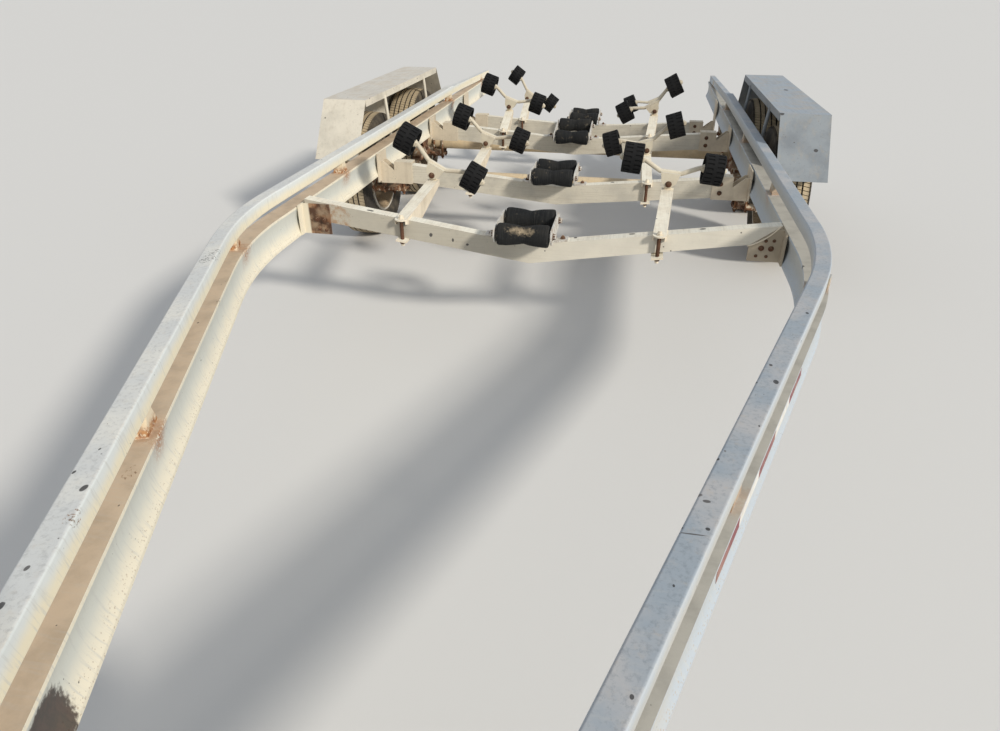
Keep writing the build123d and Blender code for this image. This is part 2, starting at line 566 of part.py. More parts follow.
def winch():
    z = POST_TOP + 0.5
    cheeks = [block((s, s + 5), (POST_Y - 60, POST_Y + 60), (z, z + 110)) for s in (-52, 47)]
    base = block((-52, 52), (POST_Y - 60, POST_Y + 60), (z, z + 5))
    drum = rod((-48, POST_Y, z + 62), (48, POST_Y, z + 62), 30)
    shaft = rod((-60, POST_Y - 30, z + 90), (84, POST_Y - 30, z + 90), 9)
    crank = block((78, 86), (POST_Y - 42, POST_Y - 18), (z - 90, z + 100))
    grip = rod((84, POST_Y - 30, z - 80), (180, POST_Y - 30, z - 80), 14)
    return fuse(cheeks + [base, drum, shaft, crank, grip])


def jack_tube():
    outer = Pos(JACK_X, JACK_Y, (JACK_Z0 + JACK_Z1) / 2) * Cylinder(JACK_TUBE_R, JACK_Z1 - JACK_Z0)
    bore = Pos(JACK_X, JACK_Y, JACK_Z0 + 230) * Cylinder(JACK_LEG_R + 0.05, 480)
    head = Pos(JACK_X, JACK_Y, JACK_Z1 + 15) * Cylinder(24, 40)
    axle_z = JACK_Z1 + 15
    shaft = rod((JACK_X, JACK_Y, axle_z), (JACK_X + 60, JACK_Y, axle_z), 8)
    crank = block((JACK_X + 52, JACK_X + 60), (JACK_Y - 12, JACK_Y + 12), (axle_z - 115, axle_z + 10))
    grip = rod((JACK_X + 56, JACK_Y, axle_z - 103), (JACK_X + 140, JACK_Y, axle_z - 103), 13)
    plate = block((TONGUE_W / 2 + 0.5, TONGUE_W / 2 + 9), (JACK_Y - 70, JACK_Y + 70), (TONGUE_Z0 - 5, TONGUE_Z1 + 5))
    web = block((TONGUE_W / 2 + 5, JACK_X - JACK_TUBE_R + 6), (JACK_Y - 14, JACK_Y + 14), (TONGUE_Z0, TONGUE_Z1))
    return fuse([outer, head, shaft, crank, grip, plate, web]) - bore


def jack_leg():
    leg = Pos(JACK_X, JACK_Y, 242.5) * Cylinder(JACK_LEG_R, 465)
    foot = Pos(JACK_X, JACK_Y, 5) * Box(180, 180, 10)
    collar = Pos(JACK_X, JACK_Y, 22) * Cylinder(38, 30)
    return fuse([leg, foot, collar])


for name, shape in (
    ("tongue", tongue()),
    ("coupler", coupler()),
    ("winch_post", winch_post()),
    ("bow_roller", bow_roller()),
    ("winch", winch()),
    ("jack_tube", jack_tube()),
    ("jack_leg", jack_leg()),
):
    save(name, shape)
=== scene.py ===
import bmesh
import bpy
from collections import namedtuple
from math import atan2, cos, pi, radians, sin
from mathutils import Matrix, Vector, noise


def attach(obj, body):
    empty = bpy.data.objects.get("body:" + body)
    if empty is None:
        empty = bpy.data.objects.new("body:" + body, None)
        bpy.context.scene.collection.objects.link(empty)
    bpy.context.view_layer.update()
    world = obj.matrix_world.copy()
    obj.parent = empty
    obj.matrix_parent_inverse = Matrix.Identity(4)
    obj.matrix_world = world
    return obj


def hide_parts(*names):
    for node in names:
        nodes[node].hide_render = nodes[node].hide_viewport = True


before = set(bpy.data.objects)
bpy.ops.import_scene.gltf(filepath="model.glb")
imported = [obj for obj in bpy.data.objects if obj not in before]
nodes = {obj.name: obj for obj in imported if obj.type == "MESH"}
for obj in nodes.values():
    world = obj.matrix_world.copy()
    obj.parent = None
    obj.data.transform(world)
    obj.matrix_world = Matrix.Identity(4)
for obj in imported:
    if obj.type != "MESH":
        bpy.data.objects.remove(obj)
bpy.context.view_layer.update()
scene = bpy.context.scene

# Places in metres, as in the part's source
SIDES = {"left": -1, "right": 1}
Cross = namedtuple("Cross", "y top rise high keel_z")
CROSS_ROWS = {
    # y, height of the top at the middle, rise outwards, height of the box, axis heights of the two keel rollers
    "front": Cross(0.055, 0.456, 0.143, 0.076, (0.518, 0.518)),
    "second": Cross(0.980, 0.429, 0.098, 0.090, (0.493, 0.493)),
    "third": Cross(1.970, 0.453, 0.083, 0.090, (0.483, 0.517)),
    "rear": Cross(2.920, 0.358, 0.062, 0.090, (0.424, 0.424)),
}
Bogie = namedtuple("Bogie", "cross side x y z clamp_x arm_top up")
BOGIES = (
    # crossmember, side, pivot x, y, z, clamp x, arm top over the clamp, outer end of the bar up in degrees
    Bogie("front", "left", 0.519, 0.545, 0.571, 0.503, 0.534, 28),
    Bogie("front", "right", 0.519, 0.545, 0.583, 0.482, 0.531, -6),
    Bogie("second", "left", 0.443, 1.375, 0.538, 0.440, 0.477, 20),
    Bogie("second", "right", 0.432, 1.375, 0.536, 0.440, 0.477, 18),
    Bogie("third", "left", 0.473, 2.285, 0.582, 0.451, 0.495, 19),
    Bogie("third", "right", 0.473, 2.285, 0.582, 0.451, 0.495, 30),
    Bogie("rear", "left", 0.500, 3.275, 0.484, 0.478, 0.392, 36),
    Bogie("rear", "right", 0.500, 3.275, 0.454, 0.478, 0.392, 24),
)
KEEL_X, KEEL_DY = -0.014, 0.098
AXLE_Y = {"front": 1.365, "rear": 2.245}
WHEEL_X, WHEEL_R = 1.135, 0.340
ROLLER_DX, ROLLER_DZ = 0.168, 0.0815
SPRING_X, EYE_Z, PIVOT_Z = 0.952, 0.360, 0.402
FENDER_TOP = 0.787
GUSSET_START, GUSSET_PITCH = -2.485, 1.0066
RAIL_WALL = 0.920
LOWER_Z, UPPER_Z = (0.446, 0.563), (0.606, 0.656)

# Camera: between the rails ahead of the first crossmember, looking back and down
CAMERA_AT = (0.354, -2.475, 1.376)
CAMERA_DOWN, CAMERA_TURN = 29.94, 10.61
LENS, SENSOR = 24.82, 36.0

data = bpy.data.cameras.new("camera")
data.lens, data.sensor_width, data.sensor_fit = LENS, SENSOR, "HORIZONTAL"
data.clip_start, data.clip_end = 0.02, 200.0
camera = bpy.data.objects.new("camera", data)
camera.location = CAMERA_AT
camera.rotation_euler = (radians(90 - CAMERA_DOWN), 0, radians(CAMERA_TURN))
scene.collection.objects.link(camera)
scene.camera = camera
scene.view_settings.view_transform = "Standard"


# Materials
class Wire:
    """An output of a material's nodes. Arithmetic on it adds Math nodes."""

    def __init__(self, tree, socket=None):
        self.tree, self.socket = tree, socket

    def node(self, kind, settings=None, values=None, out=0):
        """Adds a node: its settings first, then the values or links of its inputs."""
        made = self.tree.nodes.new(kind)
        for key, value in (settings or {}).items():
            setattr(made, key, value)
        for key, value in (values or {}).items():
            if isinstance(value, Wire):
                self.tree.links.new(value.socket, made.inputs[key])
            else:
                made.inputs[key].default_value = value
        return Wire(self.tree, made.outputs[out])

    def math(self, operation, *terms):
        return self.node("ShaderNodeMath", {"operation": operation}, dict(enumerate(terms)))

    def __add__(self, other):
        return self.math("ADD", self, other)

    __radd__ = __add__

    def __sub__(self, other):
        return self.math("SUBTRACT", self, other)

    def __rsub__(self, other):
        return self.math("SUBTRACT", other, self)

    def __mul__(self, other):
        return self.math("MULTIPLY", self, other)

    def __truediv__(self, other):
        return self.math("DIVIDE", self, other)

    def __abs__(self):
        return self.math("ABSOLUTE", self)

    def root(self):
        return self.math("SQRT", self)

    def fract(self):
        return self.math("FRACT", self)

    def step(self, low, high):
        """0 at low, 1 at high, smooth between them."""
        return self.node("ShaderNodeMapRange", {"interpolation_type": "SMOOTHSTEP"},
                         {"Value": self, "From Min": low, "From Max": high})

    def either(self, other):
        return self.math("MAXIMUM", self, other)

    def parts(self):
        """The three parts of a vector or a colour."""
        split = self.node("ShaderNodeSeparateXYZ", values={0: self})
        return [Wire(self.tree, socket) for socket in split.socket.node.outputs]


class Finish:
    """A material in the making, with the places and patterns that its colours use."""

    def __init__(self, name):
        self.material = bpy.data.materials.new(name)
        self.material.use_nodes = True
        self.tree = self.material.node_tree
        self.shader = self.tree.nodes["Principled BSDF"]
        self.start = Wire(self.tree)
        self.place = self.start.node("ShaderNodeTexCoord", out=3)
        self.x, self.y, self.z = self.place.parts()
        self.face_x, _, self.up = self.start.node("ShaderNodeNewGeometry", out=1).parts()

    def stretched(self, sx, sy, sz):
        """The place, scaled differently along each axis."""
        return self.start.node("ShaderNodeVectorMath", {"operation": "MULTIPLY"}, {0: self.place, 1: (sx, sy, sz)})

    def noise(self, scale, detail=3.0, rough=0.55, place=None):
        return self.start.node("ShaderNodeTexNoise", values={
            "Vector": place or self.place, "Scale": scale, "Detail": detail, "Roughness": rough})

    def cells(self, scale, place=None):
        """Distance from the middle of the cell that a point lies in."""
        return self.start.node("ShaderNodeTexVoronoi", values={"Vector": place or self.place, "Scale": scale})

    def chips(self, scale, share, largest, place=None):
        """Spots of different sizes in a share of the cells; the largest reaches that far into its cell."""
        found = self.cells(scale, place)
        luck, size, _ = Wire(self.tree, found.socket.node.outputs[1]).parts()
        reach = found / ((size * 0.7 + 0.3) * largest)
        return (1 - reach.step(0.8, 1.0)) * (1 - luck.step(share, share + 0.01))

    def mix(self, one, other, share):
        """One colour into another by a share from 0 to 1."""
        values = {0: share}
        for key, colour in ((6, one), (7, other)):
            values[key] = colour if isinstance(colour, Wire) else (*colour, 1.0)
        return self.start.node("ShaderNodeMix", {"data_type": "RGBA", "clamp_factor": True}, values, out=2)

    def set(self, **values):
        """Values or links on the shader's own sockets; underscores stand for spaces."""
        for key, value in values.items():
            socket = self.shader.inputs[key.replace("_", " ")]
            if isinstance(value, Wire):
                self.tree.links.new(value.socket, socket)
            else:
                socket.default_value = value

    def bump(self, height, strength, depth):
        self.set(Normal=self.start.node("ShaderNodeBump", values={
            "Strength": strength, "Distance": depth, "Height": height}))


# Tones that several finishes share
RUST_DARK, RUST_ORANGE, RUST_TAN = (0.075, 0.036, 0.020), (0.30, 0.115, 0.040), (0.33, 0.20, 0.115)
DUST, OLD_PAINT, PRIMER = (0.50, 0.385, 0.26), (0.5, 0.43, 0.33), (0.055, 0.048, 0.044)
# Tones of the single marks on the paint; the red rust is darkened past its own tone as painted shade
CHIP, SMUDGE, RED_RUST_AND_SHADE = (0.05, 0.047, 0.047), (0.16, 0.15, 0.145), (0.034, 0.012, 0.008)
SPECKS, FLECKS = (0.30, 0.17, 0.09), (0.075, 0.072, 0.070)


def scaled(colour, by):
    """The colour darker, or brighter where the factor is over 1."""
    return tuple(by * part for part in colour)


def rusty(name, tint, paint_left=0.0):
    """Rust in two tones under dust, with some old paint left on it."""
    f = Finish(name)
    broad, fine = f.noise(14, 4), f.noise(160, 5, 0.7)
    colour = f.mix(RUST_DARK, tint, broad.step(0.35, 0.68))
    colour = f.mix(colour, RUST_TAN, fine.step(0.52, 0.75) * 0.6)
    colour = f.mix(colour, DUST, f.up.step(0.5, 1.0) * broad.step(0.3, 0.6) * 0.45)
    if paint_left:
        flakes = (broad * 0.5 + f.noise(45, 4) * 0.5).step(0.62 - 0.3 * paint_left, 0.66 - 0.3 * paint_left)
        colour = f.mix(colour, OLD_PAINT, flakes)
    f.set(Base_Color=colour, Roughness=0.82 + fine * 0.12, Metallic=0.0, Specular_IOR_Level=0.3)
    f.bump(fine + broad * 0.6, 0.5, 0.0012)
    return f.material


def speckled(f, colour, share):
    """Chips down to dark primer, thinly spread and in clusters. Gives the colour and the mask."""
    spread = f.chips(34, share, 0.15, f.stretched(1.0, 0.65, 1.0))
    clustered = f.chips(120, share * 2, 0.22) * f.noise(9, 2).step(0.50, 0.60)
    spots = spread.either(clustered)
    return f.mix(colour, PRIMER, spots * 0.85), spots


def mark(f, centre, halves, soft=0.2, ragged=0.5):
    """A spot with a ragged edge about a point, by its half sizes."""
    away = f.place
    for operation, term in (("SUBTRACT", centre), ("DIVIDE", halves)):
        away = f.start.node("ShaderNodeVectorMath", {"operation": operation}, {0: away, 1: term})
    away = f.start.node("ShaderNodeVectorMath", {"operation": "LENGTH"}, {0: away}, out=1)
    return 1 - (away + (f.noise(120, 3) - 0.5) * ragged).step(1.0 - soft, 1.0)


def on_top(x, y, half_x, half_y, tone, z=UPPER_Z[1]):
    """A mark on a face that looks up: the top of the rail unless another height is given."""
    return (x, y, z), (half_x, half_y, 0.02), tone


def front_sun_and_shade(f, colour, side, flat):
    """Painted shade on the front crossmember's left half and painted sunlight on its right one."""
    # Its walls only: behind the tongue and ahead of the second crossmember
    front = f.y.step(-0.5, -0.4) * (1 - f.y.step(0.2, 0.3)) * (1 - flat)
    right = f.x.step(-0.15, 0.10)
    # Painted shade darkens the left half, painted sunlight brightens the right half
    colour = f.mix(colour, scaled(side, 0.66), front * (1 - right) * 0.6)
    return f.mix(colour, (0.78, 0.735, 0.63), front * right * 0.5)


def front_brackets(f, colour):
    """The front crossmember's left bracket is rusty beside a strip like the rail; its right one is still tan."""
    front = 1 - f.y.step(0.3, 0.4)
    left_end = front * (1 - f.x.step(-0.5, 0.5))
    patches = left_end * f.noise(22, 4).step(0.28, 0.50)
    bare = f.mix(RUST_DARK, RUST_TAN, f.noise(30, 4).step(0.45, 0.68))
    colour = f.mix(colour, (0.31, 0.26, 0.19), front * 0.7)
    colour = f.mix(colour, (0.24, 0.165, 0.105), left_end * 0.85)
    colour = f.mix(colour, bare, patches)
    colour = f.mix(colour, RUST_ORANGE, patches * f.noise(12, 4).step(0.55, 0.66) * 0.35)
    colour = f.mix(colour, RUST_TAN, f.noise(12, 4).step(0.60, 0.70) * 0.35)
    return f.mix(colour, (0.70, 0.64, 0.51), left_end * (1 - f.x.step(-0.892, -0.884)))


def weathered(name, top, side, shade_low, chips=0.08, streaks=0.35, lengthwise=False, brackets=False, marks=()):
    """Old pale paint: flat faces in one tone, walls in another, dust, chips, scratches and runs of grime; lengthwise,
    also painted shade and painted sunlight on the front crossmember's halves.
    """
    f = Finish(name)
    broad, cloudy = f.noise(2.6, 4), f.noise(13, 5, 0.6)
    grain = f.noise(230, 4, 0.65)
    flat = f.up.step(0.55, 0.92)
    colour = f.mix(side, shade_low, f.noise(5.5, 5, 0.6).step(0.42, 0.72))
    brushed = f.noise(1.0, 4, 0.6, f.stretched(150, 5, 60)).step(0.44, 0.66)
    colour = f.mix(colour, f.mix(top, scaled(top, 0.8), brushed * 0.6), flat)
    # Dust lies on what faces up, and grime runs down the walls, or lines of wear along them
    dusty = flat * cloudy.step(0.40, 0.66)
    colour = f.mix(colour, DUST, dusty * 0.28)
    if lengthwise:
        runs = f.noise(1.0, 4, 0.6, f.stretched(5, 60, 190)).step(0.48, 0.66)
    else:
        runs = f.noise(1.0, 4, 0.6, f.stretched(34, 34, 2.4)).step(0.50, 0.72)
    colour = f.mix(colour, (0.36, 0.30, 0.22), runs * (1 - flat) * streaks)
    colour = f.mix(colour, (0.42, 0.37, 0.30), broad.step(0.52, 0.78) * 0.25)
    pits = f.noise(75, 5, 0.7).step(0.54, 0.66)
    colour = f.mix(colour, scaled(side, 0.62), pits * 0.3)
    scratches = f.noise(1.0, 3, 0.6, f.stretched(260, 9, 60)).step(0.66, 0.72)
    colour = f.mix(colour, (0.40, 0.385, 0.35), scratches * 0.45)
    if lengthwise:
        # Painted shade and painted sunlight on the halves of the front crossmember
        colour = front_sun_and_shade(f, colour, side, flat)
    colour, spots = speckled(f, colour, chips)
    if brackets:
        colour = front_brackets(f, colour)
    for centre, halves, tone in marks:
        share = mark(f, centre, halves) * 0.9
        if tone is RUST_TAN:
            share = share * f.noise(42, 5, 0.7).step(0.38, 0.66)
        colour = f.mix(colour, tone, share)
    f.set(Base_Color=colour, Roughness=0.52 + cloudy * 0.22 + dusty * 0.15, Metallic=0.0, Specular_IOR_Level=0.35)
    f.bump(grain * 0.35 + cloudy * 0.5 - spots * 0.6, 0.28, 0.0016)
    return f.material


def rail(name, tones, marks, rust_share, gusset):
    """Two-tier rail. Tones: top, mottling of the top, upper wall high (a painted highlight) and low, shelf, lower wall
    (darkened as painted shade) and its foot (also the painted highlight along the lip).
    """
    top, mottled, high, low, shelf, wall, foot = tones
    foot_z, shelf_z, tube_z, top_z = *LOWER_Z, *UPPER_Z
    f = Finish(name)
    broad, cloudy, fine = f.noise(3.0, 4), f.noise(14, 5, 0.6), f.noise(230, 4, 0.65)
    flat = f.up.step(0.60, 0.92)
    # The tube on top: a cool painted highlight along its upper edge that goes over into a warmer lower tone
    sheen_share = (f.z + (cloudy - 0.5) * 0.02).step(tube_z + 0.012, top_z - 0.006)
    face = f.mix(top, mottled, f.noise(6, 5, 0.6).step(0.40, 0.66))
    face = f.mix(face, scaled(top, 0.6), f.noise(120, 5, 0.75).step(0.48, 0.66) * 0.45)
    face = f.mix(face, DUST, f.noise(44, 5, 0.7).step(0.52, 0.74) * 0.22)
    tube = f.mix(f.mix(low, high, sheen_share), face, flat)
    # The beam below: dust on its shelf, a pale painted highlight along its lip, and a cool wall darker than its creamy
    # foot as painted shade
    rise = (f.z + (cloudy - 0.5) * 0.03).step(foot_z + 0.012, foot_z + 0.070)
    beam = f.mix(foot, wall, rise)
    beam = f.mix(beam, foot, f.z.step(shelf_z - 0.011, shelf_z - 0.007))
    beam = f.mix(beam, f.mix(shelf, scaled(shelf, 0.8), cloudy.step(0.4, 0.7)), flat)
    colour = f.mix(beam, tube, f.z.step(tube_z - 0.004, tube_z))
    # Slanted scratches on the walls, faint ones on top, and broad stains
    slant = f.start.node("ShaderNodeCombineXYZ", values={
        0: (f.y + f.z * 0.2) * 150, 1: (f.z - f.y * 0.2) * 14, 2: f.x * 14})
    lines = f.noise(1.0, 4, 0.65, slant).step(0.50, 0.68)
    colour = f.mix(colour, (0.50, 0.50, 0.47), lines * (0.5 - flat * 0.35))
    colour = f.mix(colour, (0.52, 0.46, 0.37), broad.step(0.55, 0.80) * (1 - flat) * 0.4)
    # At the gussets: rust low on the plate, a few specks beside it and a splash down the wall
    along = f.y - (GUSSET_START - GUSSET_PITCH / 2)
    near = abs((along / GUSSET_PITCH).fract() - 0.5) * GUSSET_PITCH
    between = f.z.step(shelf_z - 0.002, shelf_z + 0.004) * (1 - f.z.step(tube_z - 0.004, tube_z + 0.002))
    tab = (1 - (near + cloudy * 0.02).step(0.044, 0.056)) * between
    crumbs = f.noise(150, 4, 0.7)
    low_down = 1 - (f.z + crumbs * 0.02).step(shelf_z + 0.018, shelf_z + 0.042)
    burnt = f.mix((0.44, 0.22, 0.09), (0.22, 0.075, 0.025), f.noise(70, 4, 0.7).step(0.42, 0.60))
    colour = f.mix(colour, f.mix(gusset, burnt, low_down * f.noise(60, 4, 0.7).step(0.38, 0.50) * rust_share), tab)
    splash = (1 - (near + cloudy * 0.10).step(0.05, 0.12)) * crumbs.step(0.42, 0.50)
    splash = splash * f.z.step(shelf_z - 0.075, shelf_z - 0.015) * (1 - f.z.step(shelf_z + 0.002, shelf_z + 0.006))
    colour = f.mix(colour, (0.38, 0.17, 0.07), splash * (1 - flat * 0.7) * rust_share)
    specks = f.chips(230, 0.4, 0.5) * (1 - (f.z + cloudy * 0.02).step(foot_z + 0.030, foot_z + 0.052))
    colour = f.mix(colour, (0.40, 0.31, 0.22), specks * 0.6)
    colour, spots = speckled(f, colour, 0.07)
    for centre, halves, tone in marks:
        worn = f.mix(tone, scaled(tone, 0.5), f.noise(55, 4, 0.7).step(0.42, 0.58))
        share = mark(f, centre, halves)
        if tone in (SPECKS, FLECKS):
            share = share * crumbs.step(0.54, 0.60)
        colour = f.mix(colour, worn, share * 0.9)
    f.set(Base_Color=colour, Roughness=0.48 + cloudy * 0.2, Metallic=0.0, Specular_IOR_Level=0.4)
    f.bump(fine * 0.35 + cloudy * 0.5 - spots * 0.6, 0.28, 0.0016)
    return f.material


def from_axle(f):
    """Distance from the nearer axle, seen from the side."""
    middle, apart = (AXLE_Y["front"] + AXLE_Y["rear"]) / 2, (AXLE_Y["rear"] - AXLE_Y["front"]) / 2
    along, height = abs(f.y - middle) - apart, f.z - WHEEL_R
    return (along * along + height * height).root()


# Radii between which the rim's flange begins and its hub ends, and how deep under the axle the dust lies
FLANGE_FROM, HUB_TO, DUST_DOWN = (0.191, 0.195), (0.100, 0.125), (0.175, 0.110)


def dusty_rim(name):
    """Steel wheel: a pale flange, painted shade in the hollow inside it and dust in the bottom of the dish."""
    f = Finish(name)
    cloudy, fine = f.noise(24, 5, 0.6), f.noise(180, 4, 0.65)
    radius = from_axle(f)
    # Painted shade: the hollow inside the flange is dark
    dark = f.mix((0.10, 0.080, 0.058), (0.19, 0.145, 0.10), cloudy.step(0.40, 0.62))
    settled = (1 - f.z.step(*(WHEEL_R - down for down in DUST_DOWN))) * fine.step(0.30, 0.55)
    dark = f.mix(dark, (0.48, 0.36, 0.23), settled * 0.9)
    pale = f.mix((0.62, 0.58, 0.50), (0.38, 0.30, 0.21), cloudy.step(0.48, 0.66))
    colour = f.mix(dark, pale, radius.step(*FLANGE_FROM))
    hub = 1 - radius.step(*HUB_TO)
    colour = f.mix(colour, f.mix((0.42, 0.37, 0.30), (0.20, 0.11, 0.06), cloudy.step(0.45, 0.62)), hub)
    f.set(Base_Color=colour, Roughness=0.65 + fine * 0.2, Metallic=0.0, Specular_IOR_Level=0.3)
    f.bump(fine + cloudy * 0.5, 0.35, 0.0010)
    return f.material


def rubber(name, tone, dust_share, dust=DUST, turns=0.0, tears=0.0, worn_spot=None, tread=False):
    """Dusty matt rubber, scratched round or torn where it is worn. On a tyre the sidewalls stay dark as painted shade,
    and the grooves stay dark with little dust.
    """
    f = Finish(name)
    broad, fine = f.noise(11, 4), f.noise(210, 5, 0.7)
    colour = f.mix(tone, scaled(tone, 2.2), fine.step(0.42, 0.7))
    if turns:
        rings = f.noise(1.0, 4, 0.65, f.stretched(420, 12, 12)).step(0.48, 0.70)
        colour = f.mix(colour, (0.12, 0.115, 0.105), rings * turns)
    if tears:
        worn = f.noise(26, 5, 0.7).step(0.60, 0.66)
        colour = f.mix(colour, (0.20, 0.165, 0.115), worn * tears)
    settled = (f.up.step(0.0, 1.0) * 0.6 + 0.4) * broad.step(0.36, 0.74)
    if tread:
        radius = from_axle(f)
        raised = radius.step(WHEEL_R - 0.007, WHEEL_R - 0.003)
        # Painted shade: the sidewalls get about a third of the dust and stay dark
        wall = abs(f.face_x).step(0.35, 0.80)
        settled = (broad.step(0.20, 0.60) * 0.4 + 0.6) * (raised * 0.9 + 0.1) * (1 - wall) + wall * settled * 0.35
    colour = f.mix(colour, dust, settled * dust_share)
    if worn_spot:
        scuffed = mark(f, *worn_spot, soft=0.55, ragged=1.6) * f.noise(60, 5, 0.75).step(0.30, 0.58)
        colour = f.mix(colour, (0.34, 0.27, 0.18), scuffed)
    f.set(Base_Color=colour, Roughness=0.72 + fine * 0.2, Metallic=0.0, Specular_IOR_Level=0.28)
    f.bump(fine + broad * 0.4, 0.45, 0.0008)
    return f.material


def bare_metal(name, tone, worn, dirt, dirt_share, roughness=0.5, metallic=0.55):
    """Galvanised or scuffed metal with dirt in the hollows."""
    f = Finish(name)
    cloudy, fine = f.noise(24, 5, 0.6), f.noise(180, 4, 0.65)
    colour = f.mix(tone, worn, f.cells(95).step(0.15, 0.55) * 0.5 + cloudy * 0.25)
    grime = (cloudy * 0.6 + fine * 0.4).step(0.47, 0.62)
    colour = f.mix(colour, dirt, grime * dirt_share)
    rust = f.noise(52, 5, 0.7).step(0.63, 0.69)
    colour = f.mix(colour, RUST_ORANGE, rust * 0.7)
    f.set(Base_Color=colour, Roughness=roughness + grime * 0.25, Metallic=metallic - grime * (metallic * 0.8),
          Specular_IOR_Level=0.4)
    f.bump(fine + cloudy * 0.5, 0.25, 0.0008)
    return f.material


def reflective(name, colour, dark):
    """Reflective strip under road dust."""
    f = Finish(name)
    cloudy = f.noise(30, 4)
    tone = f.mix(colour, dark, cloudy.step(0.45, 0.75) * 0.55)
    tone = f.mix(tone, DUST, f.noise(9, 4).step(0.45, 0.7) * 0.3)
    f.set(Base_Color=tone, Roughness=0.4 + cloudy * 0.2, Coat_Weight=0.3)
    f.bump(f.cells(420), 0.15, 0.0003)
    return f.material


def dress(material, *names):
    """A CAD node keeps its shape and gets this material."""
    for name in names:
        for place in nodes[name].material_slots:
            place.material = material


# The rails are lit and shaded copies of one paint: the left one warmer and paler as painted sunlight, the right one
# darker and bluer as painted shade, its gussets too
# Marks on the rails: x and y of the middle, half sizes, tone
left_rail_sunlit = rail(
    "left_rail_sunlit_paint",
    tones=((0.60, 0.61, 0.60), (0.70, 0.69, 0.64), (0.66, 0.69, 0.68), (0.76, 0.69, 0.52), (0.57, 0.455, 0.335),
           (0.58, 0.59, 0.54), (0.76, 0.70, 0.56)),
    marks=[on_top(-0.458, -1.755, 0.006, 0.009, CHIP), on_top(-0.502, -1.722, 0.003, 0.005, CHIP),
           on_top(-0.427, -1.815, 0.014, 0.022, SPECKS), on_top(-0.417, -1.920, 0.004, 0.006, SMUDGE),
           on_top(-0.503, -1.658, 0.002, 0.004, CHIP), on_top(-0.401, -1.985, 0.006, 0.009, CHIP),
           on_top(-0.508, -1.605, 0.014, 0.026, SPECKS, LOWER_Z[1]), on_top(-0.812, -0.770, 0.022, 0.075, FLECKS),
           on_top(-0.752, -0.850, 0.010, 0.055, FLECKS, LOWER_Z[1]),
           # A rust patch low on the wall, darkened as painted shade
           ((-0.335, -2.045, 0.490), (0.060, 0.070, 0.062), RED_RUST_AND_SHADE)],
    rust_share=1.0, gusset=(0.70, 0.60, 0.44))
# Painted shade: the right rail's tones and gusset are darker and bluer than the left one's
right_rail_shaded = rail(
    "right_rail_shaded_paint",
    tones=((0.31, 0.355, 0.40), (0.43, 0.43, 0.435), (0.43, 0.47, 0.51), (0.42, 0.425, 0.41), (0.46, 0.44, 0.39),
           (0.40, 0.41, 0.395), (0.42, 0.47, 0.52)),
    marks=[on_top(0.681, -1.209, 0.006, 0.009, CHIP), on_top(0.681, -1.140, 0.004, 0.005, CHIP),
           on_top(0.642, -1.217, 0.003, 0.004, CHIP), on_top(0.627, -1.376, 0.002, 0.003, CHIP),
           on_top(0.568, -1.403, 0.003, 0.004, CHIP), on_top(0.545, -1.490, 0.003, 0.004, CHIP),
           on_top(0.559, -1.465, 0.002, 0.003, SMUDGE), on_top(0.518, -1.546, 0.006, 0.004, CHIP),
           on_top(0.503, -1.590, 0.012, 0.005, SMUDGE), on_top(0.519, -1.604, 0.007, 0.004, SMUDGE),
           on_top(0.476, -1.669, 0.005, 0.005, CHIP), on_top(0.516, -1.667, 0.004, 0.004, CHIP),
           on_top(0.494, -1.682, 0.022, 0.0016, SMUDGE), on_top(0.463, -1.787, 0.002, 0.003, CHIP),
           on_top(0.411, -1.963, 0.003, 0.004, CHIP), on_top(0.805, -0.861, 0.004, 0.006, CHIP),
           on_top(0.729, -0.951, 0.008, 0.016, CHIP), on_top(0.911, -0.295, 0.012, 0.010, CHIP, LOWER_Z[1])],
    rust_share=0.45, gusset=(0.46, 0.40, 0.31))
cross_paint = weathered(
    "crossmember_paint", (0.80, 0.765, 0.655), (0.585, 0.54, 0.445), (0.45, 0.42, 0.355), chips=0.12, streaks=0.3,
    # Lengthwise also paints shade on the front crossmember's left half and sunlight on its right half
    lengthwise=True,
    # Chips on the tops, spots on the face of the front one and its brown left end
    marks=[on_top(0.383, 0.067, 0.013, 0.008, CHIP, 0.511), on_top(0.637, 0.064, 0.013, 0.009, CHIP, 0.547),
           on_top(0.172, 0.072, 0.008, 0.008, CHIP, 0.481), on_top(-0.640, 0.050, 0.016, 0.008, CHIP, 0.548),
           on_top(0.274, 0.990, 0.010, 0.008, CHIP, 0.456), on_top(-0.500, 0.060, 0.010, 0.007, CHIP, 0.527),
           ((-0.391, 0.030, 0.470), (0.007, 0.02, 0.009), CHIP),
           ((-0.303, 0.030, 0.455), (0.005, 0.02, 0.008), CHIP),
           ((-0.245, 0.030, 0.440), (0.006, 0.02, 0.005), CHIP),
           ((-0.785, 0.030, 0.510), (0.072, 0.03, 0.066), RUST_TAN)])
bracket_paint = weathered("bracket_paint", (0.66, 0.60, 0.48), (0.60, 0.52, 0.40), (0.44, 0.37, 0.28), brackets=True)
arm_paint = weathered(
    "arm_paint", (0.86, 0.81, 0.68), (0.76, 0.67, 0.53), (0.60, 0.52, 0.40), chips=0.05, streaks=0.3)
bar_paint = weathered(
    "rocking_bar_paint", (0.66, 0.62, 0.52), (0.62, 0.56, 0.44), (0.48, 0.41, 0.31), chips=0.06, streaks=0.3)
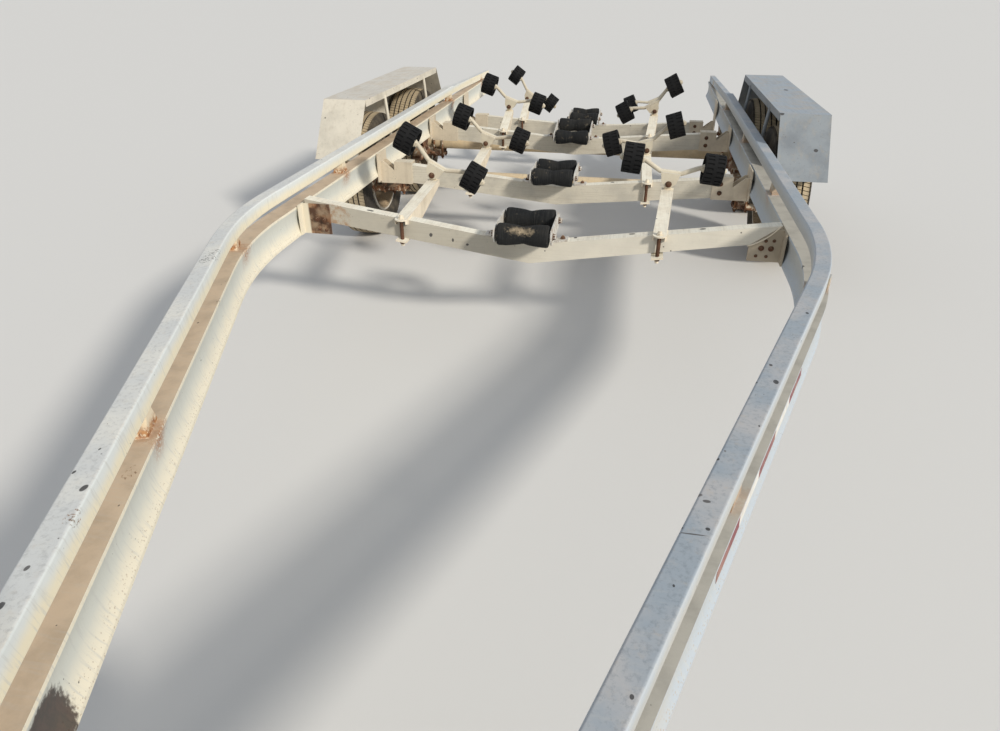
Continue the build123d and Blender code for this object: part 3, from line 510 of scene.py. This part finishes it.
# The fenders are lit and shaded copies of one paint: the left one pale as painted sunlight, the right one blue-grey as
# painted shade, its walls darker still
left_fender_sunlit = weathered(
    "left_fender_sunlit_paint", (0.62, 0.59, 0.53), (0.66, 0.61, 0.51), (0.50, 0.465, 0.39), chips=0.30, streaks=0.3)
right_fender_shaded = weathered(
    "right_fender_shaded_paint", (0.33, 0.375, 0.42), (0.26, 0.285, 0.305), (0.19, 0.21, 0.23), chips=0.14, streaks=0.3,
    marks=[((1.190, 0.990, 0.646), (0.011, 0.05, 0.007), CHIP),
           on_top(1.169, 1.858, 0.013, 0.024, CHIP, FENDER_TOP), on_top(1.030, 1.105, 0.012, 0.014, CHIP, FENDER_TOP)])
axle_paint = weathered(
    "axle_paint", (0.64, 0.52, 0.35), (0.58, 0.455, 0.29), (0.42, 0.32, 0.20), chips=0.04, streaks=0.4)
rusty_bolts = rusty("rusty_bolts", (0.115, 0.052, 0.030))
spring_rust = rusty("spring_rust", (0.24, 0.11, 0.05), 0.25)
zinc = bare_metal("dull_zinc", (0.50, 0.50, 0.485), (0.36, 0.36, 0.355), (0.36, 0.29, 0.20), 0.55)
cradle_paint = bare_metal(
    "scuffed_white", (0.70, 0.685, 0.64), (0.50, 0.48, 0.44), (0.30, 0.22, 0.15), 0.6, roughness=0.55, metallic=0.1)
rim_paint = dusty_rim("dusty_rim")
# The tread's dust is raised to a bright tan, partly as painted sunlight
tread_dust_and_sun = rubber("dusty_tread_and_painted_sun", (0.030, 0.026, 0.022), 0.95, dust=(0.52, 0.42, 0.28), tread=True)
roller_rubber = rubber("black_roller", (0.0036, 0.0037, 0.0042), 0.03, dust=(0.16, 0.15, 0.13))
keel_rubber = rubber(
    "scratched_roller", (0.0055, 0.0062, 0.0070), 0.05, dust=(0.30, 0.25, 0.17), turns=0.18, tears=0.35,
    worn_spot=((-0.020, -0.078, 0.548), (0.060, 0.034, 0.026)))
tape_red = reflective("tape_red", (0.17, 0.008, 0.016), (0.10, 0.006, 0.010))
tape_white = reflective("tape_white", (0.66, 0.65, 0.61), (0.42, 0.40, 0.36))

# The left rail and fender carry painted sunlight, the right ones painted shade
RAIL_PAINT_SUNLIT_AND_SHADED = {"left": left_rail_sunlit, "right": right_rail_shaded}
FENDER_PAINT_SUNLIT_AND_SHADED = {"left": left_fender_sunlit, "right": right_fender_shaded}
for side in SIDES:
    dress(RAIL_PAINT_SUNLIT_AND_SHADED[side], f"lower_rail_{side}", f"upper_rail_{side}")
    dress(spring_rust, f"leaf_springs_{side}")
    dress(FENDER_PAINT_SUNLIT_AND_SHADED[side], f"fender_{side}")
for cross in CROSS_ROWS:
    dress(cross_paint, f"crossmember_{cross}")
    dress(keel_rubber, f"keel_roller_{cross}_a", f"keel_roller_{cross}_b")
for bogie in BOGIES:
    dress(bar_paint, f"rocker_{bogie.cross}_{bogie.side}")
for name in AXLE_Y:
    dress(axle_paint, f"axle_{name}")
    for side in SIDES:
        dress(rim_paint, f"wheel_{name}_{side}")
dress(bracket_paint, "rail_brackets")
dress(cradle_paint, "keel_cradles")
dress(arm_paint, "side_arms")
dress(cross_paint, "tongue", "winch_post")
dress(zinc, "coupler", "winch", "jack_tube", "jack_leg")
dress(keel_rubber, "bow_roller")


# Mesh tools
def turned(half, steps):
    """Half an outline of (along, radius) points, mirrored about the middle and turned round the X axis."""
    bm = bmesh.new()
    corners = [bm.verts.new((x, 0, r)) for x, r in [(-x, r) for x, r in half] + half[::-1]]
    edges = [bm.edges.new(pair) for pair in zip(corners, corners[1:] + corners[:1])]
    bmesh.ops.spin(bm, geom=corners + edges, cent=(0, 0, 0), axis=(1, 0, 0), angle=2 * pi, steps=steps, use_merge=True)
    bmesh.ops.remove_doubles(bm, verts=bm.verts, dist=1e-6)
    bmesh.ops.recalc_face_normals(bm, faces=bm.faces)
    return bm


def set_radius(corner, radius):
    """Moves a corner straight out from the X axis, or in to it."""
    grow = radius / corner.co.yz.length
    corner.co.y *= grow
    corner.co.z *= grow


def prism(sides, radius, top_radius, low, high):
    """A disc or a many-sided block along Z."""
    bm = bmesh.new()
    bmesh.ops.create_cone(bm, cap_ends=True, segments=sides, radius1=radius, radius2=top_radius, depth=high - low)
    bmesh.ops.translate(bm, verts=bm.verts, vec=(0, 0, (high + low) / 2))
    return bm


def put(whole, shape, place):
    """Adds a copy of a shape to a bigger mesh."""
    copy = bpy.data.meshes.new("copy")
    shape.to_mesh(copy)
    copy.transform(place)
    whole.from_mesh(copy)
    bpy.data.meshes.remove(copy)


def facing(at, along):
    """Stands a shape made along Z at a point, turned to a direction."""
    return Matrix.Translation(at) @ Vector(along).to_track_quat("Z", "Y").to_matrix().to_4x4()


def piece(name, bm, body, material, sharp=35, stands_for=()):
    """Makes the object with its material, puts it on its body and hides the CAD nodes that it stands for."""
    mesh = bpy.data.meshes.new(name)
    bm.to_mesh(mesh)
    bm.free()
    mesh.shade_smooth()
    mesh.set_sharp_from_angle(angle=radians(sharp))
    mesh.materials.append(material)
    made = bpy.data.objects.new(name, mesh)
    scene.collection.objects.link(made)
    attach(made, body)
    if stands_for:
        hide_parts(*stands_for)


def bolt_shape(radius):
    """A washer, a hexagon with eased corners and the end of the thread, all sized by the thread's radius."""
    whole = bmesh.new()
    washer = prism(18, radius * 2.05, radius * 2.0, 0, radius * 0.32)
    head = prism(6, radius * 1.72, radius * 1.72, radius * 0.30, radius * 1.45)
    rim = [e for e in head.edges if all(v.co.z > radius for v in e.verts)]
    bmesh.ops.bevel(head, geom=rim, offset=radius * 0.22, segments=1, profile=0.5, affect="EDGES", material=-1)
    thread = prism(12, radius, radius * 0.86, radius * 1.3, radius * 2.1)
    for shape in (washer, head, thread):
        put(whole, shape, Matrix())
        shape.free()
    return whole


def bolts(name, rows, body, material=rusty_bolts):
    """One mesh of bolts from rows of (place, direction, radius of the thread)."""
    whole = bmesh.new()
    for at, along, radius in rows:
        shape = bolt_shape(radius)
        put(whole, shape, facing(at, along))
        shape.free()
    piece(name, whole, body, material, sharp=30)


def across(cross, x):
    """Height of the crossmember's top at x."""
    return cross.top + cross.rise * abs(x)


# Tyres: a tread of slanted blocks in five rows between the sidewalls
SIDEWALL = [
    # distance from the middle and radius, from the rim to the shoulder
    (0.077, 0.1923), (0.077, 0.2035), (0.0790, 0.2070), (0.0812, 0.2115), (0.0850, 0.2200), (0.0893, 0.2310),
    (0.0935, 0.2430), (0.0952, 0.2480), (0.0968, 0.2520), (0.0978, 0.2660), (0.0975, 0.2800), (0.0957, 0.2920),
    (0.0933, 0.3040), (0.0905, 0.3130), (0.0865, 0.3215),
]
TREAD = [(0.0795, 0.3270), (0.047, 0.3310), (0.0425, 0.3312), (0.0185, 0.3318), (0.0145, 0.3318)]
TREAD_ROWS, TREAD_STEPS = ((0.0, 0.012), (0.0185, 0.0425), (0.047, 0.1)), 108
TREAD_FOOT, BLOCK_EDGE, BLOCK_RISE = 0.324, 0.0024, 0.0080
SLANT, SLANT_REACH = radians(2.6), 0.08
NUTS, NUT_CIRCLE, NUT_OUT, NUT_R = 6, 0.076, 0.032, 0.0085


def tyre_shape():
    bm = turned(SIDEWALL + TREAD, TREAD_STEPS)
    blocks = []
    for face in bm.faces:
        middle = face.calc_center_median()
        if middle.yz.length > TREAD_FOOT and any(low <= abs(middle.x) < high for low, high in TREAD_ROWS):
            blocks.append(face)
    for corner in bm.verts:
        if corner.co.yz.length > TREAD_FOOT:
            corner.co = Matrix.Rotation(SLANT * corner.co.x / SLANT_REACH, 4, "X") @ corner.co
    bmesh.ops.inset_individual(bm, faces=blocks, thickness=BLOCK_EDGE, depth=0.0)
    for face in blocks:
        for corner in face.verts:
            set_radius(corner, corner.co.yz.length + BLOCK_RISE)
    return bm


tyre = tyre_shape()
for name, y in AXLE_Y.items():
    for side, sign in SIDES.items():
        whole = bmesh.new()
        put(whole, tyre, Matrix.Translation((sign * WHEEL_X, y, WHEEL_R)))
        piece(f"tyre_tread_{name}_{side}", whole, f"wheel_{name}_{side}", tread_dust_and_sun, sharp=30,
              stands_for=[f"tyre_{name}_{side}"])
        rows = []
        for n in range(NUTS):
            turn = 2 * pi * n / NUTS
            at = (sign * (WHEEL_X + NUT_OUT), y + NUT_CIRCLE * cos(turn), WHEEL_R + NUT_CIRCLE * sin(turn))
            rows.append((at, (sign, 0, 0), NUT_R))
        bolts(f"wheel_nuts_{name}_{side}", rows, f"wheel_{name}_{side}")
tyre.free()


# Side rollers: crisp cylinders with two staggered bands of short lengthwise slots and a cupped end
SIDE_ROLLER = [
    # distance from the middle and radius, from the bore through the cup to the tread
    (0.033, 0.011), (0.033, 0.0195), (0.029, 0.0215), (0.022, 0.0235), (0.021, 0.026), (0.021, 0.0475),
    (0.024, 0.0495), (0.0395, 0.0510), (0.041, 0.0525), (0.041, 0.0600), (0.0395, 0.0625), (0.0375, 0.063),
    (0.0345, 0.063), (0.0070, 0.063),
]
ROLLER_SKIN, SLOT_BAND, SLOT_EDGE, SLOT_FLOOR = 0.0615, (0.008, 0.034), 0.0010, 0.0590
# Slots round a band, steps of the outline from one slot to the next, steps that a slot takes, steps between the bands
SLOTS, SLOT_PITCH, SLOT_WIDTH, STAGGER = 20, 5, 2, 2
ROLLER_NUT_DX, ROLLER_NUT_R = 0.0375, 0.0085


def side_roller_shape():
    steps = SLOTS * SLOT_PITCH
    bm = turned(SIDE_ROLLER, steps)
    slots = []
    for face in bm.faces:
        middle = face.calc_center_median()
        if middle.yz.length > ROLLER_SKIN and SLOT_BAND[0] < abs(middle.x) < SLOT_BAND[1]:
            step = int((atan2(middle.z, middle.y) / (2 * pi) % 1.0) * steps)
            if (step + (STAGGER if middle.x > 0 else 0)) % SLOT_PITCH < SLOT_WIDTH:
                slots.append(face)
    bmesh.ops.inset_region(bm, faces=slots, thickness=SLOT_EDGE, depth=0.0, use_even_offset=True)
    for corner in {corner for face in slots for corner in face.verts}:
        set_radius(corner, SLOT_FLOOR)
    return bm


roller = side_roller_shape()
for bogie in BOGIES:
    sign, where = SIDES[bogie.side], f"{bogie.cross}_{bogie.side}"
    bar = Matrix.Translation((sign * bogie.x, bogie.y, bogie.z)) @ Matrix.Rotation(-sign * radians(bogie.up), 4, "Y")
    whole, rows = bmesh.new(), []
    for end in (-1, 1):
        put(whole, roller, bar @ Matrix.Translation((end * ROLLER_DX, 0, ROLLER_DZ)))
        for way in (-1, 1):
            at = bar @ Vector((end * ROLLER_DX + way * ROLLER_NUT_DX, 0, ROLLER_DZ))
            rows.append((at, bar.to_3x3() @ Vector((way, 0, 0)), ROLLER_NUT_R))
    piece(f"ribbed_rollers_{where}", whole, f"rocker_{where}", roller_rubber, sharp=30,
          stands_for=[f"side_rollers_{where}"])
    bolts(f"roller_nuts_{where}", rows, f"rocker_{where}", bar_paint)
roller.free()


# Keel rollers: worn hourglass lobes, each turned and dented in its own way
KEEL_ROLLER = [
    # distance from the middle and radius, from the bore to the waist
    (0.097, 0.010), (0.097, 0.0345), (0.0955, 0.0385), (0.0925, 0.0410), (0.088, 0.0420), (0.076, 0.0420),
    (0.062, 0.0412), (0.048, 0.0400), (0.034, 0.0382), (0.020, 0.0358), (0.009, 0.0335), (0.004, 0.0324),
]
KEEL_STEPS, KEEL_SKIN = 48, 0.030
DENTS, DENT_DEPTH, WORN_OFF = 60, 0.0010, 0.0006
# Turn from one crossmember's rollers to the next one's, and from the first of a pair to the second
ROW_TURN, PAIR_TURN = 0.7, 0.4

keel = turned(KEEL_ROLLER, KEEL_STEPS)
for number, (name, cross) in enumerate(CROSS_ROWS.items()):
    for end, dy, z in (("a", -KEEL_DY, cross.keel_z[0]), ("b", KEEL_DY, cross.keel_z[1])):
        whole = bmesh.new()
        put(whole, keel, Matrix.Rotation(ROW_TURN * number + (PAIR_TURN if end == "b" else 0), 4, "X"))
        own_dents = Vector((number * 3.1, 0, dy * 50))
        for corner in whole.verts:
            radius = corner.co.yz.length
            if radius > KEEL_SKIN:
                dent = noise.noise(corner.co * DENTS + own_dents) * DENT_DEPTH - WORN_OFF
                set_radius(corner, radius + dent)
        bmesh.ops.translate(whole, verts=whole.verts, vec=(KEEL_X, cross.y + dy, z))
        piece(f"hourglass_{name}_{end}", whole, f"keel_roller_{name}_{end}", keel_rubber, sharp=40,
              stands_for=[f"keel_roller_{name}_{end}"])
keel.free()

# Bolts on the frame: how far they sit from the middle of what they hold, and the radius of the thread (_R).
# STRAP is the thickness of the clamps' strap, which is under the crossmember.
CLAMP_DY, CLAMP_R, STRAP = 0.041, 0.0062, 0.009
STEM_R, STEM_SIDES, STEM_UNDER_ARM, HEAD_GAP = 0.0074, 14, (0.005, 0.007), 0.0005
PIVOT_DY, PIVOT_R = 0.0245, 0.0066
KEEL_PIN_DX, KEEL_FOOT_DX, KEEL_FOOT_UP, KEEL_FOOT_R = 0.1105, 0.139, 0.0075, 0.0050
WALL_BOLT_X, WALL_BOLT_Y, WALL_BOLT_UP, WALL_BOLT_R = RAIL_WALL - 0.0062, 0.103, (0.037, 0.092), 0.0052
CAP_BOLT_X, CAP_BOLT_DY, CAP_BOLT_DZ, CAP_BOLT_R = 0.785, 0.032, 0.022, 0.0056
CAP_X, CAP_DOWN = 0.79, 0.045
SEAT_DX, SEAT_DY, SEAT_Z = 0.029, 0.044, 0.2595
HANGER_PINS, HANGER_DX, HANGER_R = ((1.020, EYE_Z), (1.805, PIVOT_Z), (2.570, PIVOT_Z)), 0.031, 0.0075
FRONT_LEG_BOLTS = (
    # x, y of the leg's face, height over the foot of the rail, radius of the thread
    (-0.826, 0.024, 0.060, 0.0056), (-0.857, 0.024, 0.064, 0.0056), (-0.850, 0.024, 0.022, 0.0034),
    (-0.823, 0.024, 0.018, 0.0034),
    (0.846, 0.033, 0.052, 0.0050), (0.880, 0.033, 0.052, 0.0050), (0.832, 0.033, 0.022, 0.0030),
    (0.868, 0.033, 0.022, 0.0030), (0.886, 0.033, 0.082, 0.0030), (0.858, 0.033, 0.080, 0.0030),
)
frame_rows, clamp_rows, stems = [], [], bmesh.new()
# The arms' clamps, with the stems of their bolts, and their pivots
for bogie in BOGIES:
    sign, cross = SIDES[bogie.side], CROSS_ROWS[bogie.cross]
    clamp_x, low = sign * bogie.clamp_x, across(cross, bogie.clamp_x) - cross.high
    clamp_rows.append(((clamp_x, cross.y - CLAMP_DY, bogie.arm_top + HEAD_GAP), (0, 0, 1), CLAMP_R))
    for dy, under in zip((-CLAMP_DY, CLAMP_DY), STEM_UNDER_ARM):
        frame_rows.append(((clamp_x, cross.y + dy, low - STRAP), (0, 0, -1), CLAMP_R))
        stem = prism(STEM_SIDES, STEM_R, STEM_R, low - HEAD_GAP, bogie.arm_top - under)
        put(stems, stem, Matrix.Translation((clamp_x, cross.y + dy, 0)))
        stem.free()
    for way in (-1, 1):
        frame_rows.append(((sign * bogie.x, bogie.y + way * PIVOT_DY, bogie.z), (0, way, 0), PIVOT_R))
# The pins of the keel rollers and the feet of their cradles
for cross in CROSS_ROWS.values():
    for dy, z in zip((-KEEL_DY, KEEL_DY), cross.keel_z):
        for way in (1, -1):
            frame_rows.append(((KEEL_X + way * KEEL_PIN_DX, cross.y + dy, z), (way, 0, 0), PIVOT_R))
    for way in (-1, 1):
        x = KEEL_X + way * KEEL_FOOT_DX
        frame_rows.append(((x, cross.y, across(cross, x) + KEEL_FOOT_UP), (0, 0, 1), KEEL_FOOT_R))
# The front crossmember's brackets: on the rails' walls and on the legs
for sign in (-1, 1):
    for up in WALL_BOLT_UP:
        frame_rows.append(((sign * WALL_BOLT_X, WALL_BOLT_Y, LOWER_Z[0] + up), (-sign, 0, 0), WALL_BOLT_R))
for x, y, up, radius in FRONT_LEG_BOLTS:
    frame_rows.append(((x, y, LOWER_Z[0] + up), (0, -1, 0), radius))
# The caps over the ends of the other crossmembers, bolted on the right side only
for name in ("second", "third", "rear"):
    cross = CROSS_ROWS[name]
    height = across(cross, CAP_X) - CAP_DOWN
    for dz in (-CAP_BOLT_DZ, CAP_BOLT_DZ):
        for way in (-1, 1):
            frame_rows.append(((CAP_BOLT_X, cross.y + way * CAP_BOLT_DY, height + dz), (0, way, 0), CAP_BOLT_R))
# The seat plates under the springs and the pins of the hangers
for sign in (-1, 1):
    for y in AXLE_Y.values():
        for dx in (-SEAT_DX, SEAT_DX):
            for dy in (-SEAT_DY, SEAT_DY):
                frame_rows.append(((sign * (SPRING_X + dx), y + dy, SEAT_Z), (0, 0, -1), CLAMP_R))
    for y, z in HANGER_PINS:
        for way in (-1, 1):
            frame_rows.append(((sign * (SPRING_X + way * HANGER_DX), y, z), (way * sign, 0, 0), HANGER_R))
bolts("frame_bolts", frame_rows, "frame")
bolts("clamp_heads", clamp_rows, "frame", arm_paint)
piece("clamp_stems", stems, "frame", rusty_bolts)


def circle(points):
    """Middle and radius of the circle through three points (x, z)."""
    (x0, z0), (x1, z1), (x2, z2) = points
    turn = 2 * (x0 * (z1 - z2) + x1 * (z2 - z0) + x2 * (z0 - z1))
    a, b, c = x0 * x0 + z0 * z0, x1 * x1 + z1 * z1, x2 * x2 + z2 * z2
    mid_x = (a * (z1 - z2) + b * (z2 - z0) + c * (z0 - z1)) / turn
    mid_z = (a * (x2 - x1) + b * (x0 - x2) + c * (x1 - x0)) / turn
    return mid_x, mid_z, ((x1 - mid_x) ** 2 + (z1 - mid_z) ** 2) ** 0.5


# The slanted right end of the front crossmember is folded into a curved lip
LIP_ARC = ((0.796, 0.503), (0.856, 0.536), (0.900, 0.584))
LIP_Y, LIP_THICK, LIP_STEPS = (0.0265, 0.0330), 0.004, 14
mid_x, mid_z, radius = circle(LIP_ARC)
start, end = [atan2(z - mid_z, x - mid_x) for x, z in (LIP_ARC[0], LIP_ARC[-1])]
lip = bmesh.new()
bmesh.ops.create_grid(lip, x_segments=LIP_STEPS, y_segments=1, size=0.5)
for corner in lip.verts:
    turn = start + (corner.co.x + 0.5) * (end - start)
    y = LIP_Y[0] if corner.co.y < 0 else LIP_Y[1]
    corner.co = Vector((mid_x + radius * cos(turn), y, mid_z + radius * sin(turn)))
bmesh.ops.recalc_face_normals(lip, faces=lip.faces)
bmesh.ops.solidify(lip, geom=lip.faces[:], thickness=LIP_THICK)
# The folded lip takes the pale arm paint as a painted highlight where it catches the sun
piece("crossmember_lip", lip, "frame", arm_paint)

# Red and white strips on the hollow outer walls of the lower beams, ahead of the bend
# Half width and height of the beam at its top lip, waist and foot
WALL_ARC = ((0.034, 0.554), (0.025, 0.5105), (0.038, 0.455))
# A point (x, y) on the middle line of the rail and how far it runs outwards for each metre along it
RAIL_POINT, TAPER = (0.2132, -2.475), 0.36
STRIP_START, STRIP_LENGTH, STRIP_COUNT = -1.60, 0.15, 5
STRIP_Z, STRIP_SLANT, STRIP_THICK, STRIP_STEPS = (0.478, 0.510), 0.9, 0.0004, 8


def wall_out(z):
    """Half width of the beam at a height."""
    mid_x, mid_z, radius = circle(WALL_ARC)
    return mid_x - (radius ** 2 - (z - mid_z) ** 2) ** 0.5


def strip(start, sign):
    """A thin slanted strip on the wall."""
    shape = bmesh.new()
    bmesh.ops.create_grid(shape, x_segments=1, y_segments=STRIP_STEPS, size=0.5)
    for corner in shape.verts:
        z = STRIP_Z[0] + (corner.co.y + 0.5) * (STRIP_Z[1] - STRIP_Z[0])
        y = start + (corner.co.x + 0.5) * STRIP_LENGTH + (z - STRIP_Z[0]) * STRIP_SLANT
        out = (wall_out(z) + STRIP_THICK) * (1 + TAPER * TAPER) ** 0.5
        corner.co = Vector((sign * (TAPER * (y - RAIL_POINT[1]) + RAIL_POINT[0] + out), y, z))
    bmesh.ops.recalc_face_normals(shape, faces=shape.faces)
    bmesh.ops.solidify(shape, geom=shape.faces[:], thickness=STRIP_THICK)
    return shape


for side, sign in SIDES.items():
    for colour, material, first in (("red", tape_red, 0), ("white", tape_white, 1)):
        whole = bmesh.new()
        for n in range(first, STRIP_COUNT, 2):
            shape = strip(STRIP_START + n * STRIP_LENGTH, sign)
            put(whole, shape, Matrix())
            shape.free()
        piece(f"strips_{colour}_{side}", whole, "frame", material)

# Floor, world and lamp
FLOOR_REACH, FLOOR_TONE = 60, (0.66, 0.65, 0.63, 1)
SKY_STRENGTH, SKY_TONE = 0.56, (0.88, 0.93, 1.0, 1)
SUN_STRENGTH, SUN_TONE, SUN_SPREAD, SUN_RAYS = 3.2, (1.0, 0.95, 0.86), radians(7), (-0.80, 0.56, -0.56)

ground = Finish("pale_floor")
ground.set(Base_Color=FLOOR_TONE, Roughness=0.9)
floor_mesh = bpy.data.meshes.new("floor")
floor_mesh.materials.append(ground.material)
bm = bmesh.new()
bmesh.ops.create_grid(bm, x_segments=1, y_segments=1, size=FLOOR_REACH)
bm.to_mesh(floor_mesh)
bm.free()
floor = bpy.data.objects.new("floor", floor_mesh)
scene.collection.objects.link(floor)

world = bpy.data.worlds.new("world")
world.use_nodes = True
sky = world.node_tree.nodes["Background"]
sky.inputs["Color"].default_value = SKY_TONE
sky.inputs["Strength"].default_value = SKY_STRENGTH
scene.world = world

sun = bpy.data.lights.new("sun", "SUN")
sun.energy, sun.angle, sun.color = SUN_STRENGTH, SUN_SPREAD, SUN_TONE
lamp = bpy.data.objects.new("sun", sun)
lamp.rotation_euler = Vector(SUN_RAYS).to_track_quat("-Z", "Y").to_euler()
scene.collection.objects.link(lamp)
